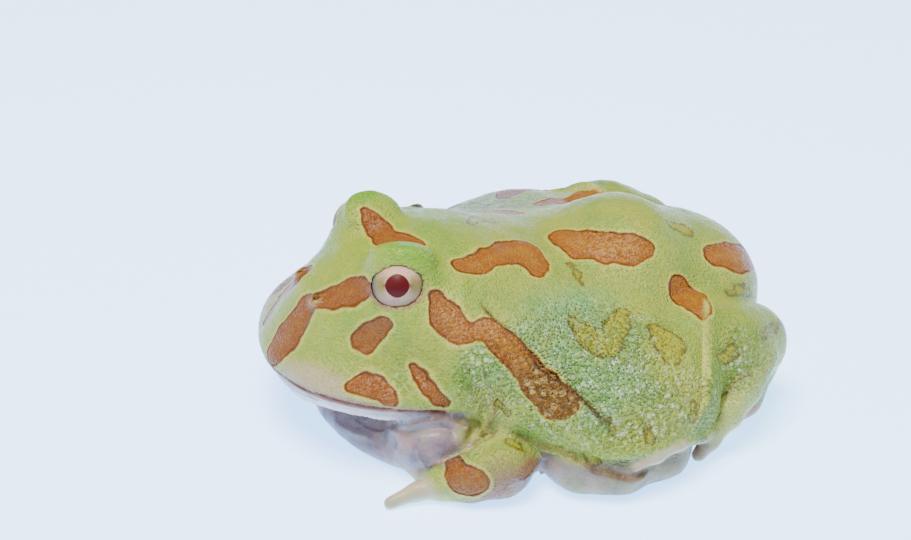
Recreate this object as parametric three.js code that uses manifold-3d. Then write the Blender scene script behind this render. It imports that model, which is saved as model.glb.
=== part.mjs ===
// Argentine horned frog, sitting, life size. Millimetres, +Z up, floor at z = 0.
// The frog faces -Y and its left side is +X. The origin is on the floor under the body.
import * as THREE from 'three';
import { mergeVertices } from 'three/addons/utils/BufferGeometryUtils.js';
import Module from 'manifold-3d';

const wasm = await Module();
wasm.setup();

// ---- driving sizes -------------------------------------------------------
const gap = 0.3;            // clear space between neighbouring pieces
const neckY = -12;          // the head ends here
const neckTilt = 6;         // degrees, the neck cut leans back at the top
const eyeCentre = [11.6, -26.1, 30.2];
const eyeRadius = 4.6;
const nostril = [4.9, -38.8, 25.7];
const nostrilRadius = 0.75;
const mouthFrontZ = 13.9;   // height of the mouth line at the tip of the snout
const mouthCornerZ = 13.1;  // and at its corner
const mouthArch = 1.3;      // how far the mouth line rises halfway back
const mouthCorner = -23;    // y of the mouth corner

// torso: rounded masses as centre and radii
const torsoMasses = {
  trunk: { c: [0, 5.5, 12.4], r: [40, 31.5, 12.4], k: 0 },
  back: { c: [0, 1, 14.2], r: [24, 27, 13.2], k: 5 },
  sacrum: { c: [0, 20.5, 17.5], r: [16, 14, 14.6], k: 6 },
  rump: { c: [0, 34.5, 13], r: [18, 12.6, 12.2], k: 6 },
  shoulders: { c: [0, -12, 16.6], r: [21, 16, 14], k: 8 },
  flank: { c: [0, 6, 9.5], r: [44.5, 24, 7], k: 4 },
};
const bellyRoll = [[30, -6, 4.6, 4.4], [36.5, -2, 4.6, 4.6], [39, 4, 4.4, 4.4], [37.5, 12, 4.4, 4.4], [31, 18, 4.4, 4.4]];
const bellyPad = { c: [0, 2, 4.4], r: [36, 22, 5.2] };
const kneeCover = { c: [27, 14, 10], r: [14, 12, 9.8], k: 4 };

// head: rounded masses
const skullMasses = {
  crown: { c: [0, -20, 19.5], r: [22.5, 18, 14], k: 0 },
  snout: { c: [0, -36, 20], r: [9, 11, 6.5], turn: 38, k: 8 },
  upperJaw: { c: [0, -22, 15.4], r: [27.2, 25.6, 7], turn: 2, k: 4 },
};
const cheek = { c: [20, -12, 15], r: [9, 11, 10], k: 5 };
// the eye looks along this line; the rim masses are measured from the eye's centre
// as [out along the gaze, forward, up]
const gaze = new THREE.Vector3(0.80, -0.31, 0.51).normalize();
const eyeMound = { c: [-4.1, -0.5, -0.9], r: [6.4, 7.3, 6.2], k: 2.5 };
const upperLid = { c: [-0.7, -0.2, 5.6], r: [3.9, 4.9, 1.2], k: 1.8 };
const lowerLid = { c: [-1.1, -0.2, -5.0], r: [4.0, 5.2, 1.7], k: 1.5 };
const lidHorn = { c: [9.8, -24.9, 33.2], r: [4.1, 5.2, 2.6], k: 2.6 };
const jawBand = { c: [0, -22, 13.2], r: [26.3, 24.9, 4.7], turn: 2 };
const throatBag = { c: [0, -18.2, 3.0], r: [29.6, 20.8, 8.2] };
const throatPouch = { c: [23.2, -21.4, 6.4], r: [8.4, 9.6, 5.8] };

// limbs: x, y, z and radius at each joint of the left side
const upperArm = [[20, -13, 9, 6.2], [27, -13, 7.5, 5.6], [30.5, -9.8, 5.2, 4.4]];
const forearm = [[30.6, -10.2, 4.9, 4.0], [33.8, -16, 5, 4.8], [33.6, -21, 4.5, 4.1]];
const palm = [[33.4, -21.5, 3.5, 3.8], [32, -25.5, 2.8, 3.0]];
const fingers = [
  [[32.4, -25, 2.7, 2.6], [31.8, -30, 2.0, 1.5], [32.0, -34.9, 1.0, 1.1]],
  [[31, -25, 2.4, 2.4], [27.5, -27.0, 1.6, 1.6], [24.6, -28.2, 1.1, 1.2]],
  [[31, -23, 2.4, 2.4], [26, -24.0, 1.6, 1.8], [21.5, -24.8, 1.2, 1.4]],
  [[31, -21, 2.4, 2.4], [25.5, -20.2, 1.6, 1.8], [21.5, -19, 1.2, 1.4]],
];
const thigh = [[12, 33, 11, 8.5], [22, 26, 12, 9.5], [27, 20, 11.5, 8.5]];
const shank = [[26.6, 21, 10.5, 7.6], [24.8, 30.5, 12.4, 8.5], [22.5, 36, 12, 7.2]];
const foot = [[22.5, 37, 7.5, 5.2], [27, 32.5, 4.6, 4.2], [31, 26, 3.6, 3.5]];
const toes = [
  [[29.6, 34.8, 13.4, 3.2], [33.8, 30.2, 10.2, 2.8], [36.0, 25.8, 7.0, 2.2], [37.6, 21.7, 3.9, 1.6], [38.0, 19.4, 1.5, 1.1]],
  [[35.0, 25, 5.0, 1.9], [39.6, 18.6, 7.0, 1.3], [42.6, 13.0, 8.5, 1.05], [43.7, 8.4, 7.8, 1.1], [43.9, 4.6, 6.9, 1.15]],
  [[31, 27, 2.6, 2.8], [33, 14, 1.8, 2.0], [33, 5, 1.3, 1.5]],
  [[30, 26, 2.6, 2.8], [28, 16, 1.7, 1.9], [27, 9, 1.3, 1.5]],
  [[29, 26, 2.6, 2.8], [25, 20, 1.7, 1.9], [23, 15, 1.3, 1.5]],
];
// the joints of a limb flow into each other over this length
const jointBlend = 2.5;

// ---- distance functions --------------------------------------------------
const rad = THREE.MathUtils.degToRad;
const clamp = THREE.MathUtils.clamp;

function blend(a, b, k) {
  if (k <= 0) return Math.min(a, b);
  const h = clamp(0.5 + 0.5 * (b - a) / k, 0, 1);
  return b + (a - b) * h - k * h * (1 - h);
}

// rounded mass; turn pitches it about the X axis
function ball(p, { c, r, turn = 0 }) {
  const s = Math.sin(rad(-turn)), q = Math.cos(rad(turn));
  const x = p[0] - c[0], v = p[1] - c[1], w = p[2] - c[2];
  const y = q * v - s * w, z = s * v + q * w;
  const k0 = Math.hypot(x / r[0], y / r[1], z / r[2]);
  const k1 = Math.hypot(x / r[0] ** 2, y / r[1] ** 2, z / r[2] ** 2);
  return k1 > 0 ? k0 * (k0 - 1) / k1 : -Math.min(...r);
}

function bone(p, a, b) {
  const d = [b[0] - a[0], b[1] - a[1], b[2] - a[2]];
  const l2 = d[0] ** 2 + d[1] ** 2 + d[2] ** 2;
  const t = clamp(((p[0] - a[0]) * d[0] + (p[1] - a[1]) * d[1] + (p[2] - a[2]) * d[2]) / l2, 0, 1);
  return Math.hypot(p[0] - a[0] - t * d[0], p[1] - a[1] - t * d[1], p[2] - a[2] - t * d[2])
    - (a[3] + t * (b[3] - a[3]));
}

function chain(p, joints, k = jointBlend) {
  let d = Infinity;
  for (let i = 0; i + 1 < joints.length; i++) {
    const piece = bone(p, joints[i], joints[i + 1]);
    d = d === Infinity ? piece : blend(d, piece, k);
  }
  return d;
}

const mirrored = (p) => [Math.abs(p[0]), p[1], p[2]];

const eyeUp = new THREE.Vector3(0, 0, 1).addScaledVector(gaze, -gaze.z).normalize();
const eyeForward = new THREE.Vector3().crossVectors(gaze, eyeUp).normalize();
function fromEye(p) {
  const x = p[0] - eyeCentre[0], y = p[1] - eyeCentre[1], z = p[2] - eyeCentre[2];
  return [gaze, eyeForward, eyeUp].map((a) => a.x * x + a.y * y + a.z * z);
}

function skullField(p) {
  const m = mirrored(p);
  let d = Infinity;
  for (const mass of Object.values(skullMasses)) {
    d = d === Infinity ? ball(p, mass) : blend(d, ball(p, mass), mass.k);
  }
  d = blend(d, ball(m, cheek), cheek.k);
  d = blend(d, ball(fromEye(m), eyeMound), eyeMound.k);
  return d;
}

function torsoField(p) {
  let d = Infinity;
  for (const mass of Object.values(torsoMasses)) {
    d = d === Infinity ? ball(p, mass) : blend(d, ball(p, mass), mass.k);
  }
  return blend(d, ball(mirrored(p), kneeCover), kneeCover.k);
}

// the rim of skin round the eye
function orbitField(p) {
  const q = fromEye(p);
  let hood = blend(ball(q, eyeMound), ball(q, upperLid), upperLid.k);
  hood = blend(hood, ball(q, lowerLid), lowerLid.k);
  return blend(hood, ball(p, lidHorn), lidHorn.k);
}

// the continuous body outline that the head and torso share
const bodyField = (p) => blend(torsoField(p), skullField(p), 5);

// ---- shapes on three.js geometry ------------------------------------------
const bisections = 18;

// slides a point in along its line to the anchor until it meets the outline
function settle(field, anchor, dir, reach, level) {
  const at = (t) => field([anchor[0] + dir[0] * t, anchor[1] + dir[1] * t, anchor[2] + dir[2] * t]) - level;
  let outer = reach, inner = reach, value = at(reach);
  while (value > 0 && inner > 0) {
    outer = inner;
    inner = Math.max(inner - Math.max(0.6 * value, 0.3), 0);
    value = at(inner);
  }
  for (let i = 0; i < bisections; i++) {
    const middle = (inner + outer) / 2;
    if (at(middle) > 0) outer = middle; else inner = middle;
  }
  return inner;
}

// a globe with upright poles, stretched by size and drawn onto a field
function wrapBall(field, centre, size, around, up, level = 0) {
  const shape = new THREE.SphereGeometry(1, around, up);
  shape.rotateX(Math.PI / 2);
  const pos = shape.attributes.position;
  const dir = new THREE.Vector3();
  const seen = new Map();
  for (let i = 0; i < pos.count; i++) {
    dir.fromBufferAttribute(pos, i);
    const key = `${dir.x.toFixed(5)} ${dir.y.toFixed(5)} ${dir.z.toFixed(5)}`.replaceAll('-0.00000', '0.00000');
    if (!seen.has(key)) {
      dir.multiply(new THREE.Vector3(...size)).normalize();
      const t = settle(field, centre, dir.toArray(), 1.5 * Math.max(...size), level);
      seen.set(key, [centre[0] + dir.x * t, centre[1] + dir.y * t, centre[2] + dir.z * t]);
    }
    pos.setXYZ(i, ...seen.get(key));
  }
  return shape;
}

// a capsule along the joints, drawn onto their blended field
function wrapLimb(joints, { round = 14, caps = 4, along = 8, level = 0, blendBy = jointBlend } = {}) {
  const first = new THREE.Vector3(...joints[0]);
  const last = new THREE.Vector3(...joints[joints.length - 1]);
  const length = first.distanceTo(last);
  const shape = new THREE.CapsuleGeometry(1, length, caps, round, along);
  const turn = new THREE.Quaternion().setFromUnitVectors(
    new THREE.Vector3(0, 1, 0), last.clone().sub(first).normalize());
  const pos = shape.attributes.position;
  const reach = 2.2 * Math.max(...joints.map((j) => j[3])) + 3;
  const field = (p) => chain(p, joints, blendBy);
  const v = new THREE.Vector3(), onAxis = new THREE.Vector3();
  for (let i = 0; i < pos.count; i++) {
    v.fromBufferAttribute(pos, i);
    onAxis.set(0, clamp(v.y, -length / 2, length / 2), 0);
    v.sub(onAxis).normalize().applyQuaternion(turn);
    // the inner line follows the bend of the joints
    const along01 = onAxis.y / length + 0.5;
    const anchor = pointOn(joints, along01);
    const t = settle(field, anchor, v.toArray(), reach, level);
    pos.setXYZ(i, anchor[0] + v.x * t, anchor[1] + v.y * t, anchor[2] + v.z * t);
  }
  return shape;
}

// point at a share of the way along the joints
function pointOn(joints, share) {
  const lengths = [];
  for (let i = 0; i + 1 < joints.length; i++) {
    lengths.push(Math.hypot(...[0, 1, 2].map((k) => joints[i + 1][k] - joints[i][k])));
  }
  let left = share * lengths.reduce((a, b) => a + b, 0);
  for (let i = 0; i < lengths.length; i++) {
    if (left <= lengths[i] || i === lengths.length - 1) {
      const t = Math.min(left / lengths[i], 1);
      return [0, 1, 2].map((k) => joints[i][k] + t * (joints[i + 1][k] - joints[i][k]));
    }
    left -= lengths[i];
  }
  return joints[0].slice(0, 3);
}

function solidOf(geometry) {
  const plain = geometry.clone();
  plain.deleteAttribute('normal');
  plain.deleteAttribute('uv');
  const merged = mergeVertices(plain, 1e-4);
  return new wasm.Manifold(new wasm.Mesh({
    numProp: 3,
    vertProperties: new Float32Array(merged.attributes.position.array),
    triVerts: new Uint32Array(merged.index.array),
  }));
}

const joined = (solids) => solids.reduce((a, b) => a.add(b));

function largest(solid) {
  let best = null;
  for (const piece of solid.decompose()) {
    if (!best || piece.volume() > best.volume()) best = piece;
  }
  return best;
}

// a block that keeps what lies on one side of a plane through a point
function halfSpace(point, normal, size = 160) {
  const block = new THREE.BoxGeometry(size, size, size);
  block.translate(0, 0, size / 2);
  const turn = new THREE.Quaternion().setFromUnitVectors(
    new THREE.Vector3(0, 0, 1), new THREE.Vector3(...normal).normalize());
  block.applyQuaternion(turn);
  block.translate(...point);
  return solidOf(block);
}

const aboveFloor = halfSpace([0, 0, 0], [0, 0, 1]);

// height of the mouth line at each point of the head
function mouthZ(y) {
  const front = -47.5, middle = -35;
  if (y > mouthCorner) return mouthCornerZ;
  const t = clamp((y - middle) / (middle - front), -1, 1);
  return (mouthFrontZ + mouthCornerZ) / 2 + t * (mouthCornerZ - mouthFrontZ) / 2 + mouthArch * (1 - t * t);
}

// the block above or below the mouth line, with half the gap left open
function mouthBlock(side) {
  const block = new THREE.BoxGeometry(120, 70, 60, 2, 40, 1);
  block.translate(0, -30, side * 30);
  const pos = block.attributes.position;
  for (let i = 0; i < pos.count; i++) {
    if (Math.abs(pos.getZ(i)) < 1) {
      pos.setZ(i, mouthZ(pos.getY(i)) + side * gap / 2);
    } else {
      pos.setZ(i, side * 60);
    }
  }
  return solidOf(block);
}

function mirroredX(geometry) {
  const copy = geometry.clone();
  const pos = copy.attributes.position;
  for (let i = 0; i < pos.count; i++) pos.setX(i, -pos.getX(i));
  const index = copy.index;
  for (let i = 0; i < index.count; i += 3) {
    const keep = index.getX(i + 1);
    index.setX(i + 1, index.getX(i + 2));
    index.setX(i + 2, keep);
  }
  return copy;
}

function geometryOf(solid) {
  const mesh = solid.getMesh();
  const shape = new THREE.BufferGeometry();
  shape.setAttribute('position', new THREE.BufferAttribute(new Float32Array(mesh.vertProperties), 3));
  shape.setIndex(new THREE.BufferAttribute(new Uint32Array(mesh.triVerts), 1));
  return shape;
}

// ---- limbs of the left side ------------------------------------------------
const fine = { round: 7, caps: 2, along: 2, blendBy: 1.2 };
const long = { round: 7, caps: 2, along: 4, blendBy: 1.2 };
const limb = (joints, options) => ({
  body: solidOf(wrapLimb(joints, options)),
  grown: solidOf(wrapLimb(joints, { ...options, level: gap })),
});
const grownUnion = (parts) => joined(parts.map((part) => part.grown));
const bodyUnion = (parts) => joined(parts.map((part) => part.body));

const middle = { round: 11, caps: 3, along: 4 };
const handParts = [limb(palm, middle), ...fingers.map((f) => limb(f, fine))];
const footParts = [limb(foot, middle), ...toes.map((t) => limb(t, t.length > 3 ? long : fine))];
const upperArmPart = limb(upperArm, middle);
const forearmPart = limb(forearm, middle);
const thighPart = limb(thigh, middle);
const shankPart = limb(shank, { round: 14, caps: 3, along: 5 });

const handGrown = grownUnion(handParts);
const footGrown = grownUnion(footParts);
const limbs = {
  hand: bodyUnion(handParts),
  forearm: forearmPart.body.subtract(handGrown),
  upper_arm: upperArmPart.body.subtract(forearmPart.grown).subtract(handGrown),
  foot: bodyUnion(footParts),
  shank: shankPart.body.subtract(footGrown),
  thigh: thighPart.body.subtract(shankPart.grown).subtract(footGrown),
};
const leftGrown = joined([handGrown, footGrown, upperArmPart.grown, forearmPart.grown, thighPart.grown, shankPart.grown]);
const grownBoth = leftGrown.add(solidOf(mirroredX(geometryOf(leftGrown))));

// ---- torso, head and lower jaw ----------------------------------------------
const neckNormal = [0, Math.cos(rad(neckTilt)), Math.sin(rad(neckTilt))];
const neckPoint = (shift) => [0, neckY + shift, 16];
const behindNeck = halfSpace(neckPoint(gap / 2), neckNormal);
const beforeNeck = halfSpace(neckPoint(-gap / 2), neckNormal.map((n) => -n));

function scaledBall({ c, r, turn = 0 }, around, up) {
  const b = new THREE.SphereGeometry(1, around, up);
  b.rotateX(Math.PI / 2);
  b.scale(...r);
  b.rotateX(rad(turn));
  b.translate(...c);
  return solidOf(b);
}
const bothSides = (solid) => solid.add(solidOf(mirroredX(geometryOf(solid))));

const trunkSolid = solidOf(wrapBall(bodyField, [0, 8, 9], [44, 42, 20], 44, 18));
const headSolid = solidOf(wrapBall(bodyField, [0, -22, 14.5], [28, 26, 17], 48, 22));
const rollSolid = solidOf(wrapLimb(bellyRoll, { round: 10, caps: 3, along: 8, blendBy: 4 }));
const pouchSolid = bothSides(scaledBall(throatPouch, 16, 8));
const jawSolid = scaledBall(jawBand, 48, 10).add(scaledBall(throatBag, 32, 10)).add(pouchSolid).add(trunkSolid);

const torso = trunkSolid.add(bothSides(rollSolid)).add(scaledBall(bellyPad, 24, 8)).add(scaledBall(throatBag, 32, 10)).add(pouchSolid)
  .intersect(behindNeck).intersect(aboveFloor).subtract(grownBoth);

// eyes, their sockets and the nostrils
const orbitMiddle = eyeCentre.map((v, i) => v - 3.2 * gaze.getComponent(i));
const eyeBall = new THREE.SphereGeometry(eyeRadius, 20, 12);
eyeBall.translate(...eyeCentre);
const socket = scaledBall({ c: eyeCentre, r: [1, 1, 1].map(() => eyeRadius + gap) }, 24, 14);
const orbit = solidOf(wrapBall(orbitField, orbitMiddle, [7, 8, 7], 24, 15));
const nostrilTool = new THREE.SphereGeometry(nostrilRadius, 10, 8);
nostrilTool.scale(1, 1.3, 1.6);
nostrilTool.translate(...nostril);

const head = headSolid.intersect(beforeNeck).intersect(mouthBlock(1))
  .add(bothSides(orbit))
  .subtract(bothSides(socket.add(solidOf(nostrilTool))))
  .subtract(grownBoth);
const lowerJaw = jawSolid.intersect(beforeNeck).intersect(mouthBlock(-1)).intersect(aboveFloor)
  .subtract(grownBoth);

// ---- scene graph --------------------------------------------------------------
const colours = {
  skin: { color: 0xa9bf80, roughness: 0.42, metalness: 0 },
  belly: { color: 0xe6dcd8, roughness: 0.45, metalness: 0 },
  toe: { color: 0xe0cdb4, roughness: 0.4, metalness: 0 },
  eye: { color: 0xb9a58c, roughness: 0.08, metalness: 0 },
};
const group = new THREE.Group();
function place(name, geometry, look) {
  const mesh = new THREE.Mesh(geometry, new THREE.MeshStandardMaterial(colours[look]));
  geometry.computeVertexNormals();
  mesh.name = name;
  group.add(mesh);
}
place('torso', geometryOf(largest(torso)), 'skin');
place('head', geometryOf(largest(head)), 'skin');
place('lower_jaw', geometryOf(largest(lowerJaw)), 'belly');
const eyeGeometry = geometryOf(solidOf(eyeBall));
place('eye_left', eyeGeometry, 'eye');
place('eye_right', mirroredX(eyeGeometry), 'eye');
const looks = { hand: 'toe', forearm: 'skin', upper_arm: 'skin', foot: 'toe', shank: 'skin', thigh: 'skin' };
for (const [name, solid] of Object.entries(limbs)) {
  const left = geometryOf(largest(solid.intersect(aboveFloor)));
  place(`${name}_left`, left, looks[name]);
  place(`${name}_right`, mirroredX(left), looks[name]);
}

export default group;
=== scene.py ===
# Argentine horned frog, sitting, life size. Sizes are in mm, the scene in metres.
# The frog faces -Y, its left side is +X and the floor is z = 0.
import bpy
import itertools
import math
import numpy as np
import openvdb
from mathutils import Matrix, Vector


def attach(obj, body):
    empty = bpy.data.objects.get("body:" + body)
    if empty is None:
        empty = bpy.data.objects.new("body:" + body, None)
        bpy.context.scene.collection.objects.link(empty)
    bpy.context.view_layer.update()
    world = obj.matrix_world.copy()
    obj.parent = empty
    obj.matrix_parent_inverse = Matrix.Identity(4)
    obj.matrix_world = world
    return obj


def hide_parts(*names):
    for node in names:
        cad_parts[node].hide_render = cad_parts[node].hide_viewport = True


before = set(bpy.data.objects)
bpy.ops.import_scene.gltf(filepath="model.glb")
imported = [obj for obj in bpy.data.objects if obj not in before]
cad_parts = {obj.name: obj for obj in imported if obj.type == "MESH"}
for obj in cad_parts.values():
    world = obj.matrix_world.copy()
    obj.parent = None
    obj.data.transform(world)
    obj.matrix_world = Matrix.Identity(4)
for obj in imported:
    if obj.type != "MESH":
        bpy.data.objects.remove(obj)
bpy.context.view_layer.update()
mm = 0.001


# distances to simple forms, negative inside; p holds the x, y and z of many points
def blend(a, b, k):
    h = np.clip(0.5 + 0.5 * (b - a) / k, 0, 1)
    return b + (a - b) * h - k * h * (1 - h)


def carve(a, b, k):
    h = np.clip(0.5 - 0.5 * (a + b) / k, 0, 1)
    return a + (-b - a) * h + k * h * (1 - h)


# an egg with three radii, tipped up or down by a turn in degrees
def ball(p, centre, radii, turn=0):
    s = math.sin(math.radians(-turn))
    c = math.cos(math.radians(turn))
    x, v, w = (p[i] - centre[i] for i in range(3))
    y = c * v - s * w
    z = s * v + c * w
    near = np.sqrt((x / radii[0]) ** 2 + (y / radii[1]) ** 2 + (z / radii[2]) ** 2)
    slope = np.sqrt((x / radii[0] ** 2) ** 2 + (y / radii[1] ** 2) ** 2 + (z / radii[2] ** 2) ** 2)
    return near * (near - 1) / np.maximum(slope, 1e-9)


# a round bar from a to b, each with its own radius
def bone(p, a, b):
    d = [b[i] - a[i] for i in range(3)]
    fromA = [p[i] - a[i] for i in range(3)]
    t = np.clip(sum(fromA[i] * d[i] for i in range(3)) / sum(step ** 2 for step in d), 0, 1)
    off = sum((fromA[i] - t * d[i]) ** 2 for i in range(3))
    return np.sqrt(off) - (a[3] + t * (b[3] - a[3]))


def chain(p, joints, k=2.5):
    d = bone(p, joints[0], joints[1])
    for a, b in zip(joints[1:], joints[2:]):
        d = blend(d, bone(p, a, b), k)
    return d


# balls are centre, radii, turn, blend; lines are x, y, z, radius
body = {
    "trunk": ((0, 5.5, 12.4), (40, 31.5, 12.4), 0, 0),
    "back": ((0, 1, 14.2), (24, 27, 13.2), 0, 5),
    "sacrum": ((0, 20.5, 17.5), (16, 14, 14.6), 0, 6),
    "rump": ((0, 34.5, 13), (18, 12.6, 12.2), 0, 6),
    "shoulders": ((0, -12, 16.6), (21, 16, 14), 0, 8),
    "flank": ((0, 6, 9.5), (44.5, 24, 7), 0, 4),
}
kneeCover = ((27, 14, 10), (14, 12, 9.8), 0, 4)
belly = {
    "roll": [(30, -6, 4.6, 4.4), (36.5, -2, 4.6, 4.6), (39, 4, 4.4, 4.4), (37.5, 12, 4.4, 4.4),
             (31, 18, 4.4, 4.4)],
    "rollBlend": 4,
    "rollCrease": 0.6,
    "pad": ((0, 2, 4.4), (36, 22, 5.2), 0, 2),
}
head = {
    "crown": ((0, -20, 19.5), (22.5, 18, 14), 0, 0),
    "snout": ((0, -36, 20), (9, 11, 6.5), 38, 8),
    "upperJaw": ((0, -22, 15.4), (27.2, 25.6, 7), 2, 4),
}
cheek = ((20, -12, 15), (9, 11, 10), 0, 5)
neckBlend = 5
jaw = {
    "band": ((0, -22, 13.2), (26.3, 24.9, 4.7), 2),
    "throat": ((0, -18.2, 3), (29.6, 20.8, 8.2), 0),
    "pouch": ((23.2, -21.4, 6.4), (8.4, 9.6, 5.8), 0),
    "pouchCrease": 3,
    "underLip": 3,
    "crease": 0.4,
    "frontZ": 13.9,      # height of the mouth line at the front and at the corner
    "cornerZ": 13.1,
    "arch": 1.3,
    "archMiddle": -35,
    "archReach": 12.5,
    "corner": -23,
    "slit": 0.2,
    "slitDepth": 0.6,
    "slitEdge": 0.35,
}
eye = {
    "centre": (11.6, -26.1, 30.2),
    "radius": 4.6,
    "gap": 0.06,
    "gaze": (0.80, -0.31, 0.51),
    "mound": ((-4.1, -0.5, -0.9), (6.4, 7.3, 6.2), 2.5),
    "upperLid": ((-0.7, -0.2, 5.6), (3.9, 4.9, 1.2), 1.8),
    "lowerLid": ((-1.1, -0.2, -5), (4, 5.2, 1.7), 1.5),
    "horn": ((9.8, -24.9, 33.2), (4.1, 5.2, 2.6), 2.6),
    "hoodBlend": 2.6,
    "socketEdge": 0.3,
}
nostril = {"at": (4.9, -38.8, 25.7), "r": 0.62, "rim": 1.25, "depth": 2, "rimBlend": 1.2, "edge": 0.4}
arm = {
    "upper": [(20, -13, 9, 6.2), (27, -13, 7.5, 5.6), (30.5, -9.8, 5.2, 4.4)],
    "fore": [(30.6, -10.2, 4.9, 4), (33.8, -16, 5, 4.8), (33.6, -21, 4.5, 4.1)],
    "palm": [(33.4, -21.5, 3.5, 3.8), (32, -25.5, 2.8, 3)],
    "fingers": [
        [(32.4, -25, 2.7, 2.6), (31.8, -30, 2, 1.5), (32, -34.9, 1, 1.1)],
        [(31, -25, 2.4, 2.4), (27.5, -27, 1.6, 1.6), (24.6, -28.2, 1.1, 1.2)],
        [(31, -23, 2.4, 2.4), (26, -24, 1.6, 1.8), (21.5, -24.8, 1.2, 1.4)],
        [(31, -21, 2.4, 2.4), (25.5, -20.2, 1.6, 1.8), (21.5, -19, 1.2, 1.4)],
    ],
    "elbow": 0.6,
    "wrist": 2,
    "crease": 0.7,
}
leg = {
    "thigh": [(12, 33, 11, 8.5), (22, 26, 12, 9.5), (27, 20, 11.5, 8.5)],
    "shank": [(26.6, 21, 10.5, 7.6), (24.8, 30.5, 12.4, 8.5), (22.5, 36, 12, 7.2)],
    "foot": [(22.5, 37, 7.5, 5.2), (27, 32.5, 4.6, 4.2), (31, 26, 3.6, 3.5)],
    "toes": [
        [(29.6, 34.8, 13.4, 3.2), (33.8, 30.2, 10.2, 2.8), (36, 25.8, 7, 2.2),
         (37.6, 21.7, 3.9, 1.6), (38, 19.4, 1.5, 1.1)],
        [(35, 25, 5, 1.9), (39.6, 18.6, 7, 1.3), (42.6, 13, 8.5, 1.05),
         (43.7, 8.4, 7.8, 1.1), (43.9, 4.6, 6.9, 1.15)],
        [(31, 27, 2.6, 2.8), (33, 14, 1.8, 2), (33, 5, 1.3, 1.5)],
        [(30, 26, 2.6, 2.8), (28, 16, 1.7, 1.9), (27, 9, 1.3, 1.5)],
        [(29, 26, 2.6, 2.8), (25, 20, 1.7, 1.9), (23, 15, 1.3, 1.5)],
    ],
    "knee": 1,
    "heel": 0.8,
    "crease": 0.8,
}
digitBlend = 1.2         # along a finger or toe
digitRoot = 1.0          # where it leaves the hand or foot


# an eye's own directions: out, forward and up
def eyeAxes(aim):
    out = Vector(aim).normalized()
    up = (Vector((0, 0, 1)) - out * out.z).normalized()
    return out, out.cross(up).normalized(), up


def fromEye(p):
    x, y, z = (p[i] - eye["centre"][i] for i in range(3))
    return [axis.x * x + axis.y * y + axis.z * z for axis in eyeAxes(eye["gaze"])]


def masses(p, parts):
    d = None
    for centre, radii, turn, k in parts.values():
        piece = ball(p, centre, radii, turn)
        d = piece if d is None else blend(d, piece, k)
    return d


# left half only; p[0] is the distance from the middle plane
def skullField(p):
    d = masses(p, head)
    d = blend(d, ball(p, cheek[0], cheek[1]), cheek[3])
    q = fromEye(p)
    centre, radii, k = eye["mound"]
    hood = ball(q, centre, radii)
    d = blend(d, hood, k)
    for name, place in (("upperLid", q), ("lowerLid", q), ("horn", p)):
        centre, radii, k = eye[name]
        hood = blend(hood, ball(place, centre, radii), k)
    return blend(d, hood, eye["hoodBlend"])


def jawField(p):
    d = ball(p, *jaw["band"])
    d = blend(d, ball(p, *jaw["throat"]), jaw["underLip"])
    return blend(d, ball(p, *jaw["pouch"]), jaw["pouchCrease"])


# height of the mouth line
def mouthZ(y):
    t = np.clip((y - jaw["archMiddle"]) / jaw["archReach"], -1, 1)
    middle = (jaw["frontZ"] + jaw["cornerZ"]) / 2
    return middle + t * (jaw["cornerZ"] - jaw["frontZ"]) / 2 + jaw["arch"] * (1 - t * t)


def torsoField(p):
    d = masses(p, body)
    d = blend(d, ball(p, kneeCover[0], kneeCover[1]), kneeCover[3])
    d = blend(d, chain(p, belly["roll"], belly["rollBlend"]), belly["rollCrease"])
    centre, radii, turn, k = belly["pad"]
    return blend(d, ball(p, centre, radii, turn), k)


def withDigits(p, palm, digits):
    d = chain(p, palm)
    for digit in digits:
        d = blend(d, chain(p, digit, digitBlend), digitRoot)
    return d


def armField(p):
    d = blend(chain(p, arm["upper"]), chain(p, arm["fore"]), arm["elbow"])
    return blend(d, withDigits(p, arm["palm"], arm["fingers"]), arm["wrist"])


def legField(p):
    d = blend(chain(p, leg["thigh"]), chain(p, leg["shank"]), leg["knee"])
    return blend(d, withDigits(p, leg["foot"], leg["toes"]), leg["heel"])


def skinField(p):
    d = blend(torsoField(p), skullField(p), neckBlend)
    d = blend(d, jawField(p), jaw["crease"])
    d = blend(d, armField(p), arm["crease"])
    d = blend(d, legField(p), leg["crease"])
    slit = np.maximum(np.abs(p[2] - mouthZ(p[1])) - jaw["slit"], -d - jaw["slitDepth"])
    slit = np.maximum(slit, p[1] - jaw["corner"])
    d = carve(d, slit, jaw["slitEdge"])
    d = blend(d, ball(p, nostril["at"], [nostril["rim"]] * 3), nostril["rimBlend"])
    hole = (nostril["r"], nostril["r"] * 1.4, nostril["depth"])
    d = carve(d, ball(p, nostril["at"], hole), nostril["edge"])
    socket = [eye["radius"] + eye["gap"]] * 3
    d = carve(d, ball(p, eye["centre"], socket), eye["socketEdge"])
    return np.maximum(d, -p[2])


# the skin is one mesh, drawn round the field
grid = {"step": 0.42, "quickStep": 0.9, "low": (-48, -52, -1.6), "high": (48, 50, 40), "background": 3.0}


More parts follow.
